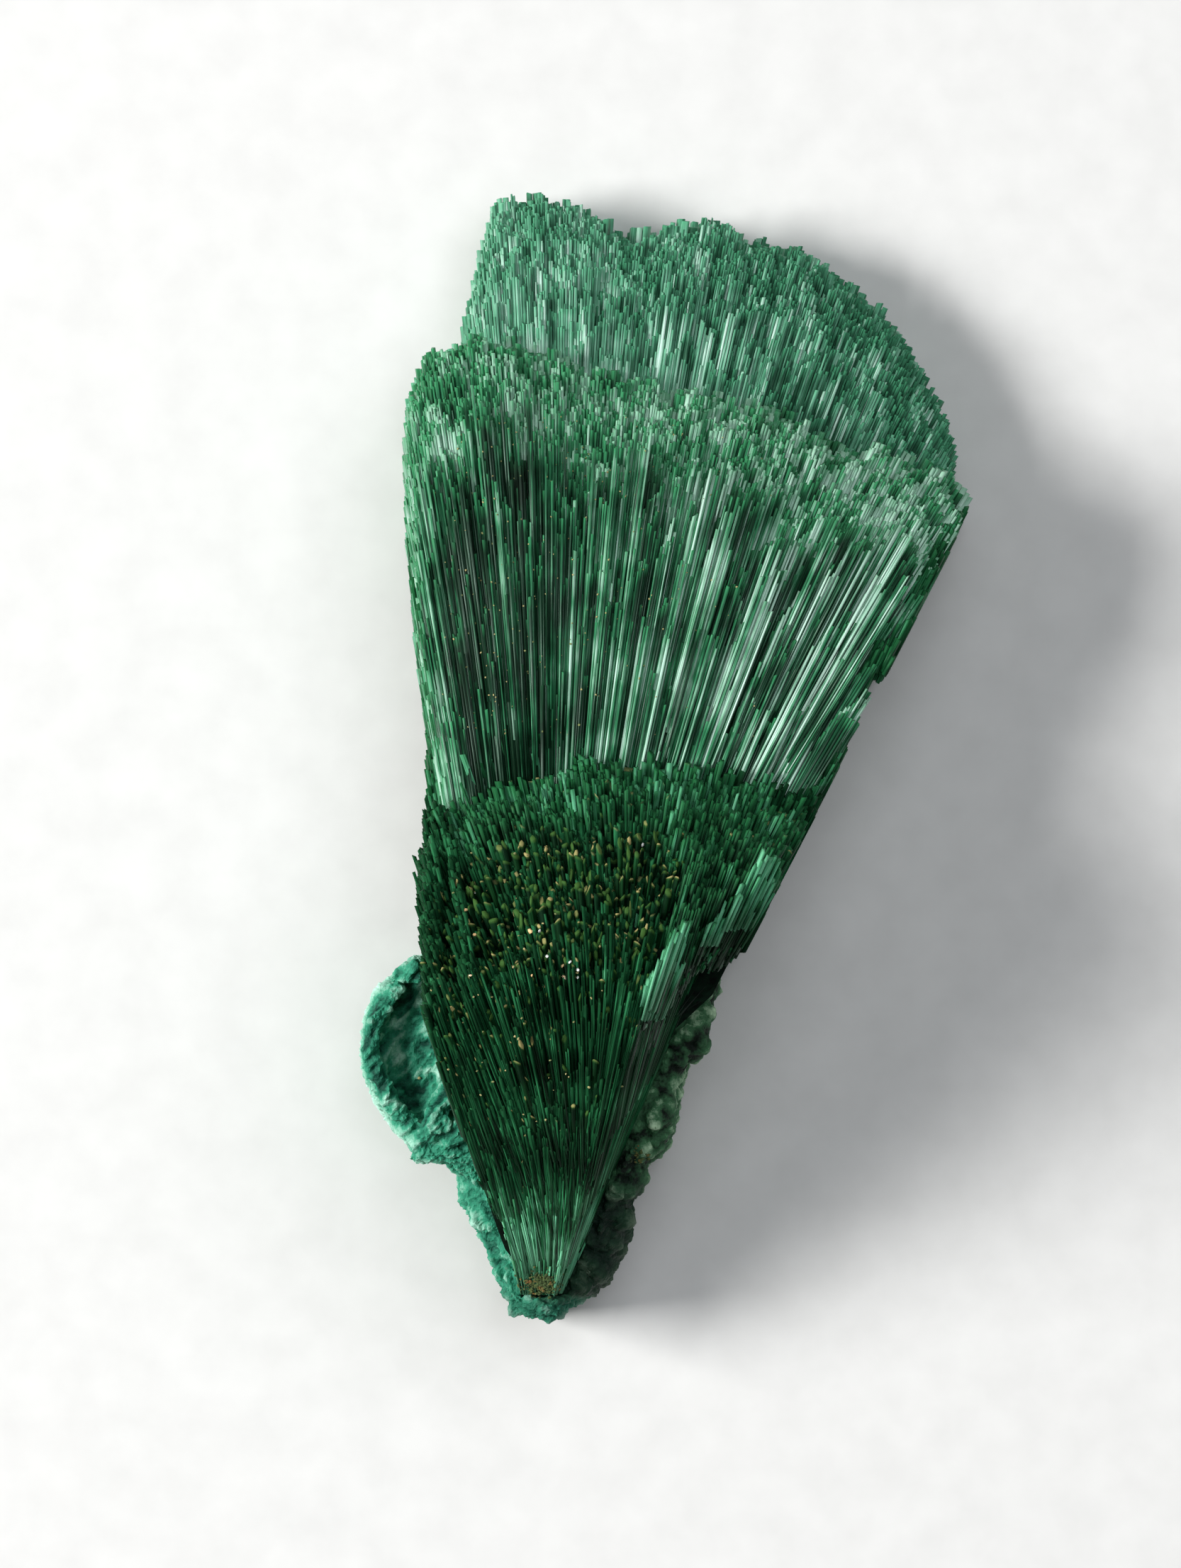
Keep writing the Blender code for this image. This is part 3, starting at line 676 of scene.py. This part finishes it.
# The crust
# A skin of soft blue-green copper silicate, the ground that the needles grew on. On the left
# it stands up as an ear with a rolled rim, and on the right it is grey-green and knobbly.
CRUST_LEFT = [(1.9, -0.1), (2.2, -1.1), (3.2, -2.0), (3.95, -2.3), (5.1, -2.6), (6.6, -3.3),
              (8.1, -4.2), (9.6, -4.4), (10.15, -5.0), (10.4, -6.8), (11.4, -7.0), (12.3, -7.8),
              (13.4, -8.4), (14.9, -9.2), (16.4, -9.4), (17.9, -9.2), (19.4, -8.6),
              (20.4, -7.5), (21.2, -6.7)]
CRUST_RIGHT = [(1.9, 1.2), (2.8, 2.4), (3.95, 3.5), (5.4, 4.4), (6.4, 4.9), (8.4, 5.0),
               (9.4, 5.6), (10.4, 5.8), (11.2, 6.8), (12.9, 7.3), (14.5, 7.5), (15.7, 8.0),
               (16.9, 8.5), (18.2, 9.2), (20.3, 9.6), (21.2, 10.0)]
LEFT_RIM = [(2, 5.5), (5, 6.0), (9, 6.0), (10.5, 8.5), (13, 8.0), (16, 9.0), (19, 9.0), (21, 7.0)]
LEFT_BOWL = [(2, 8.0), (5, 7.6), (9, 7.6), (10.8, 8.8), (12.2, 8.0), (14, 7.5), (18, 7.4), (21, 6.6)]
LEFT_FOOT = [(2, 8.0), (5, 8.4), (9, 8.4), (11, 8.8), (13.2, 9.2), (14.5, 8.3), (18, 8.0), (21, 7.2)]
RIGHT_LUMPS = [(2, 7.0), (5, 6.4), (8, 8.2), (11, 9.2), (14, 8.8), (17, 8.2), (20, 6.5), (21, 5.0)]
FOOT_TOP = 8.6
FOOT_END = 2.95
CRUST_GRAIN = 0.12       # size of the mesh's cells, fine enough for its wrinkles
CREST_HIGHEST = 0.58
SMOOTH_BELOW = 0.6       # so that the crust stands flat on the floor
# Rolls and knobs: lines of balls from one (right, up, height, radius) to the next.
ROLLS = [[(-4.5, 14.6, 7.6, 0.5), (-4.7, 13.6, 8.7, 0.75), (-5.2, 12.6, 9.0, 0.8),
          (-6.0, 11.6, 8.4, 0.6), (-6.7, 10.5, 7.6, 0.2)],
         [(-4.1, 13.3, 8.6, 0.5), (-4.0, 12.2, 8.9, 0.7), (-4.7, 11.3, 8.3, 0.6)],
         [(-7.5, 19.6, 8.4, 0.4), (-8.6, 18.0, 9.0, 0.45), (-8.9, 16.4, 9.1, 0.5),
          (-8.4, 14.9, 8.8, 0.45), (-7.6, 13.4, 8.3, 0.5), (-6.7, 12.4, 8.3, 0.5)],
         [(-7.2, 20.4, 8.2, 0.45), (-6.3, 20.6, 8.6, 0.6)],
         [(-3.4, 8.7, 6.4, 0.6), (-2.9, 7.2, 6.6, 0.7), (-2.2, 5.6, 6.6, 0.6), (-1.6, 4.2, 6.9, 0.6)],
         [(-0.9, 2.9, 8.3, 0.75), (0.0, 2.6, 8.9, 0.8), (0.9, 2.6, 8.7, 0.7), (1.5, 2.9, 8.3, 0.4)],
         [(8.3, 18.2, 7.3, 0.9), (8.0, 16.9, 7.7, 1.1)], [(7.3, 15.9, 8.3, 0.8)],
         [(6.3, 13.9, 8.7, 0.8), (6.2, 13.0, 8.9, 1.0)], [(6.3, 11.8, 8.8, 0.7)],
         [(5.2, 12.2, 9.3, 0.5)], [(4.9, 9.7, 8.3, 0.8), (4.5, 9.0, 8.2, 0.6)],
         [(4.4, 7.4, 7.6, 0.5)], [(3.3, 5.0, 6.6, 0.7)]]


def crust_section(up):
    """Outline of a slice across the crust, from its left foot over the top to its right foot."""
    above_foot = up > FOOT_END
    left, right, rim, bowl, foot, lump = (float(level(side, up)) for side in (
        CRUST_LEFT, CRUST_RIGHT, LEFT_RIM, LEFT_BOWL, LEFT_FOOT, RIGHT_LUMPS))
    needles_left = max(FLANK, up * math.tan(math.radians(level(LEFT_EDGE, up))))
    near = needles_left + 0.2 if above_foot else left + 0.4 * (right - left)
    far = left + 0.7 * (right - left)
    under = FOOT_TOP
    if above_foot:
        far = up * math.tan(math.radians(RIGHT_EDGE[0][1])) - 0.2
        under = FOCUS[2] - math.hypot(near, up) * math.tan(math.radians(-LOWEST))
    return [(left + 0.9, 0), (left + 0.15, 1.8), (left, rim * 0.6),
            (left + (near - left) * 0.04, rim - 0.6), (left + (near - left) * 0.13, rim),
            (left + (near - left) * 0.24, (rim + bowl) / 2), (left + (near - left) * 0.45, bowl),
            (left + (near - left) * 0.8, (bowl + foot) / 2), (near, foot), (near, under),
            (far, under), (far, lump), (far + (right - far) * 0.35, lump + 0.6),
            (far + (right - far) * 0.75, lump), (right, lump * 0.6), (right - 0.15, 1.8),
            (right - 0.9, 0)]


def crust_rough_shape():
    """Closed meshes of the crust's body and of its rolls and knobs, one through the other."""
    body = bmesh.new()
    rings = []
    for up in np.arange(CRUST_LEFT[0][0], CRUST_LEFT[-1][0], 0.25):
        rings.append([body.verts.new((x, up, z)) for x, z in crust_section(up)])
    for ring, following in zip(rings, rings[1:]):
        for n in range(len(ring)):
            m = (n + 1) % len(ring)
            body.faces.new((ring[n], ring[m], following[m], following[n]))
    body.faces.new(rings[0])
    body.faces.new(rings[-1])
    bmesh.ops.recalc_face_normals(body, faces=body.faces[:])
    for roll in ROLLS:
        for start, end in zip(roll, roll[1:] + roll[-1:]):
            for share in (0, 0.2, 0.4, 0.6, 0.8):
                ball = [a + (b - a) * share for a, b in zip(start, end)]
                bmesh.ops.create_icosphere(body, subdivisions=2, radius=ball[3],
                                           matrix=Matrix.Translation(ball[:3]))
    return body


def crust_relief(x, up, z):
    """Swelling of the crust at a point, how teal it is, how high its crest, which sets its painted
    shade and painted highlight, and how dark.
    """
    spot = Vector((x, up, z))
    sheaf = up * 0.1
    green = min(max((sheaf - x) / 1.0 + 0.5, (3.4 - up) / 0.6, 0), 1)
    along = (x + up) * 0.7
    over = (up - x) * 0.7
    ridges = noise.ridged_multi_fractal(Vector((along * 0.3, over * 0.95, z * 0.5)),
                                        0.9, 2.1, 3, 1.0, 2.0)
    wrinkles = noise.turbulence(spot * 1.1, 4, True)
    knobs = 1 - noise.voronoi(spot * 0.85)[0][0] * 1.4
    small_knobs = 1 - noise.voronoi(spot * 2.3)[0][0] * 1.5
    ear = min(max((up - 10.5) / 1.5, 0), 1)
    folds = noise.turbulence(spot * 0.9 + Vector((7, 0, 0)), 3, True)
    scales = 1 - noise.voronoi(Vector((along * 1.5, over * 2.6, z)))[0][0] * 1.6
    left = ear * ((ridges - 1) * 0.26 + (folds - 0.7) * 0.3 + scales * 0.14) \
        + (1 - ear) * (wrinkles - 0.9) * 0.55
    right = knobs * 0.45 + small_knobs * 0.16
    fine = noise.turbulence(spot * 4, 2, True) * 0.09
    # The crest lightens the colour on crests and darkens it in folds, from the same noise as the
    # swelling: painted highlight and painted shade.
    crest = green * (ear * (ridges * 0.35 + scales * 0.16) + (1 - ear) * wrinkles * 0.5)
    crest += (1 - green) * (knobs * 0.5 + small_knobs * 0.25)
    crest += green * (ear * (folds - 0.7) * 0.5
                      + float(level([(8, 0), (9, 0.06), (12.5, 0.06), (14, 0)], up)))
    # Lower parts of the ear are painted lighter and its highest parts darker: painted light in the
    # bowl and painted shade on the rim.
    crest += green * ear * float(level([(7, 0.12), (8.1, 0.03), (9, -0.1)], z))
    dark = (1 - green) * float(level([(2.5, 0.3), (3.5, 0.85), (8.5, 0.8), (9.8, 0)], up))
    dark = max(dark, float(level([(3, 0.45), (3.9, 0)], up)))
    return green * left + (1 - green) * right + fine, green, crest + fine, dark


# Dull copper silicate: teal on the left, grey-green on the right, with painted shade nearly black
# in the folds and a painted highlight pale on their crests, which gives it the look of crumpled wet
# paper.
tree, shader = new_material("copper_silicate_crust")
relief = add(tree, "SeparateXYZ", {}, {0: add(tree, "Attribute",
             {"attribute_name": "relief"}).outputs["Vector"]})
place = add(tree, "TexCoord").outputs["Object"]
patches = add(tree, "TexNoise", {}, {"Vector": place, "Scale": 700, "Detail": 5, "Roughness": 0.65})
grains = add(tree, "TexNoise", {}, {"Vector": place, "Scale": 6000, "Detail": 3, "Roughness": 0.7})
height = add(tree, "Math", {"operation": "MULTIPLY_ADD"},
             {0: patches.outputs["Fac"], 1: 1.3, 2: relief.outputs["X"]})
speckled = add(tree, "Math", {"operation": "MULTIPLY_ADD"},
               {0: grains.outputs["Fac"], 1: 0.7, 2: height.outputs[0]})
half = add(tree, "Math", {"operation": "MULTIPLY_ADD"}, {0: speckled.outputs[0], 1: 0.5, 2: -0.3})
# The dark ends of these ramps are painted shade in the folds, and the pale ends painted highlights on
# the crests.
teal = add(tree, "ValToRGB", {"stops": [(0.2, "0C4032"), (0.5, "338C6E"), (0.85, "AEDAC6")]},
           {0: half.outputs[0]})
grey_green = add(tree, "ValToRGB", {"stops": [(0.22, "08160D"), (0.5, "3A6845"), (0.8, "B8D6B2")]},
                 {0: half.outputs[0]})
skin_colour = add(tree, "Mix", {"data_type": "RGBA"}, {0: relief.outputs["Y"],
                  6: grey_green.outputs["Color"], 7: teal.outputs["Color"]})
shaded = add(tree, "Mix", {"data_type": "RGBA"},
             {0: relief.outputs["Z"], 6: skin_colour.outputs[2], 7: linear("0F241A")})
tree.links.new(shaded.outputs[2], shader.inputs["Base Color"])
dull = add(tree, "MapRange", {}, {0: grains.outputs["Fac"], 3: 0.45, 4: 0.75})
tree.links.new(dull.outputs[0], shader.inputs["Roughness"])
shader.inputs["IOR"].default_value = 1.5
shader.inputs["Specular IOR Level"].default_value = 0.15
bump = add(tree, "Bump", {}, {"Strength": 0.8, "Distance": 0.00008,
                              "Height": grains.outputs["Fac"]})
tree.links.new(bump.outputs[0], shader.inputs["Normal"])

rough = bpy.data.meshes.new("crust_rough_shape")
body = crust_rough_shape()
body.to_mesh(rough)
body.free()
lump = bpy.data.objects.new("crust_rough_shape", rough)
bpy.context.scene.collection.objects.link(lump)
cells = lump.modifiers.new("cells", "REMESH")
cells.mode = "VOXEL"
cells.voxel_size = CRUST_GRAIN
skin = bpy.data.meshes.new_from_object(lump.evaluated_get(bpy.context.evaluated_depsgraph_get()))
bpy.data.objects.remove(lump)
bpy.data.meshes.remove(rough)
places = np.array([point.co for point in skin.vertices])
outward = np.array([point.normal for point in skin.vertices])
relief = np.array([crust_relief(*place) for place in places.tolist()])
swelling = np.where(places[:, 2] > SMOOTH_BELOW, relief[:, 0], 0)
points = places + outward * swelling[:, None]
points[:, 2] = np.maximum(points[:, 2], 0)
points += (FOCUS[0], FOCUS[1], 0)
skin.vertices.foreach_set("co", (points * MM).ravel())
marks = np.stack([relief[:, 2] / CREST_HIGHEST, relief[:, 1], relief[:, 3]], -1)
skin.attributes.new("relief", "FLOAT_VECTOR", "POINT").data.foreach_set("vector", marks.ravel())
skin.materials.clear()
skin.materials.append(bpy.data.materials["copper_silicate_crust"])
skin.name = "crust_skin"
crust = bpy.data.objects.new("crust_skin", skin)
bpy.context.scene.collection.objects.link(crust)
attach(crust, "root")
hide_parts("blue_green_crust")

# Grains on the specimen
# Mossy brown iron oxide has settled on the root and in a hole of the crust beside it, and a
# few tiny crystals, coloured near white or orange as painted glints, sit between the tips of the
# dome.
# Limonite, an earthy rust that takes all shine away.
mottled("limonite_grains", 2600, 3, [(0.4, "26340F"), (0.55, "46592A"), (0.7, "704F22")], 0.85)
# Tiny crystals coloured near white or orange as painted glints, and smooth enough to glint.
mottled("painted_glint_crystals", 700, 0, [(0.45, "FBFBF4"), (0.6, "E8C08A")], 0.12)


def grains(name, spots, material, slot, stands_for):
    """Joined mesh of rough grains, from (right, up, height, radius) in millimetres."""
    heap = bmesh.new()
    for right, up, height, radius in spots:
        turned = Matrix.Rotation(rng.uniform(0, 6), 4, (rng.random(), rng.random(), rng.random()))
        shape = Matrix.Diagonal((radius, radius * rng.uniform(0.5, 1), radius * 0.6, 1))
        where = Matrix.Translation((FOCUS[0] + right, FOCUS[1] + up, height))
        bmesh.ops.create_icosphere(heap, subdivisions=1, radius=1, matrix=where @ turned @ shape)
    points = np.array([point.co for point in heap.verts])
    faces = [[point.index for point in face.verts] for face in heap.faces]
    heap.free()
    piece(name, points, faces, material, stands_for)


# A grain settles on whatever lies highest under it: a needle or the crust.
carriers = [made for made in bpy.data.objects
            if made.name.endswith("_needles") or made.name == "crust_skin"]
graph = bpy.context.evaluated_depsgraph_get()
surfaces = [BVHTree.FromObject(made, graph) for made in carriers]
DROP_HEIGHT = 60                         # from above the whole specimen


def settled(right, up, radius):
    """List of a grain's spot, or an empty one where nothing carries it."""
    above = Vector((FOCUS[0] + right, FOCUS[1] + up, DROP_HEIGHT)) * MM
    hits = [tree.ray_cast(above, Vector((0, 0, -1)))[0] for tree in surfaces]
    heights = [hit.z / MM for hit in hits if hit]
    return [(right, up, max(heights) + radius * 0.3, radius)] if heights else []


spots = []
for _ in range(320):
    right = rng.gauss(0.15, 0.42)
    up = rng.gauss(3.95, 0.33)
    spots += settled(right, up, rng.uniform(0.05, 0.12))
for _ in range(30):
    right = 5.5 + rng.gauss(0, 0.25)
    up = 10.7 + rng.gauss(0, 0.2)
    spots += settled(right, up, rng.uniform(0.06, 0.12))
grains("limonite_grains", spots, "limonite_grains", "crust", "blue_green_crust")

# Places of the larger glints, right of the focus and up from it.
GLINTS = [(-3.2, 24.8), (-3.7, 23.9), (-3.2, 22.6), (-0.3, 22.8), (0.2, 22.8), (0.6, 21.5),
          (-3.4, 20.5), (1.5, 20.4), (-0.2, 20.5), (0.5, 19.9), (5.6, 27.3), (1.4, 21.0),
          (2.2, 20.8), (1.8, 21.2), (2.2, 20.4)]
spots = [spot for place in GLINTS for spot in settled(*place, rng.uniform(0.1, 0.2))]
grains("dome_glints", spots, "painted_glint_crystals", "malachite", "malachite_spray")

# Pale matt dust and lint lie on the middle step, most on its left, and on the dome.
mottled("tan_dust", 900, 1, [(0.4, "6F7A48"), (0.6, "B0A26E")], 0.8)
spots = []
for _ in range(260):
    up = rng.uniform(33, 50)
    right = rng.triangular(-5.4, 13, -3)
    spots += settled(right, up, rng.uniform(0.03, 0.08))
for _ in range(60):
    up = rng.uniform(12, 27)
    right = rng.gauss(-1, 2)
    spots += settled(right, up, rng.uniform(0.05, 0.1))
grains("dust_and_lint", spots, "tan_dust", "malachite", "malachite_spray")

# Studio
# Plain pale floor, a soft key light from the left and a larger dim one overhead.

# Matt white board, with a tooth that is too fine to see as more than a soft unevenness.
mottled("matt_white_board", 400, 4, [(0.3, "CFCECB"), (0.7, "D5D4D1")], 0.9)
FLOOR_HALF = 2.5
floor_mesh = bpy.data.meshes.new("studio_floor")
floor_mesh.from_pydata([(-FLOOR_HALF, -FLOOR_HALF, 0), (FLOOR_HALF, -FLOOR_HALF, 0),
                        (FLOOR_HALF, FLOOR_HALF, 0), (-FLOOR_HALF, FLOOR_HALF, 0)],
                       [], [(0, 1, 2, 3)])
floor_mesh.materials.append(bpy.data.materials["matt_white_board"])
floor = bpy.data.objects.new("studio_floor", floor_mesh)
bpy.context.scene.collection.objects.link(floor)


def softbox(name, towards, distance, size, power, colour):
    """Square soft light that shines on the specimen from a direction."""
    data = bpy.data.lights.new(name, "AREA")
    data.size = size
    data.energy = power
    data.color = linear(colour)[:3]
    lamp = bpy.data.objects.new(name, data)
    lamp.location = Vector(towards).normalized() * distance
    lamp.rotation_euler = Vector(towards).to_track_quat("Z", "Y").to_euler()
    lamp.visible_camera = False
    bpy.context.scene.collection.objects.link(lamp)


softbox("key_left", (-0.75, 0.05, 0.62), 0.9, 0.35, 12.5, "FFFFFF")
softbox("fill_overhead", (0.25, 0.3, 1), 1.1, 0.8, 6.5, "F4F8FF")
world = bpy.data.worlds.new("studio")
world.use_nodes = True
world.node_tree.nodes["Background"].inputs["Color"].default_value = linear("E8ECEC")
world.node_tree.nodes["Background"].inputs["Strength"].default_value = 0.14
bpy.context.scene.world = world
bpy.context.scene.view_settings.view_transform = "Standard"

# The camera looks straight down from 0.9 m, on the middle of the photograph's frame.
# The frame is this tall at half the height of the crust.
FRAME_MIDDLE = (2.87, 30.5)              # right of the focus and up from it
FRAME_TALL = 83.4
FRAME_HEIGHT = 8
CAMERA_HEIGHT = 900
data = bpy.data.cameras.new("camera")
data.sensor_width = 36
data.lens = data.sensor_width * (CAMERA_HEIGHT - FRAME_HEIGHT) / FRAME_TALL
data.clip_start = 0.05
camera = bpy.data.objects.new("camera", data)
camera.location = Vector((FOCUS[0] + FRAME_MIDDLE[0], FOCUS[1] + FRAME_MIDDLE[1],
                          CAMERA_HEIGHT)) * MM
bpy.context.scene.collection.objects.link(camera)
bpy.context.scene.camera = camera
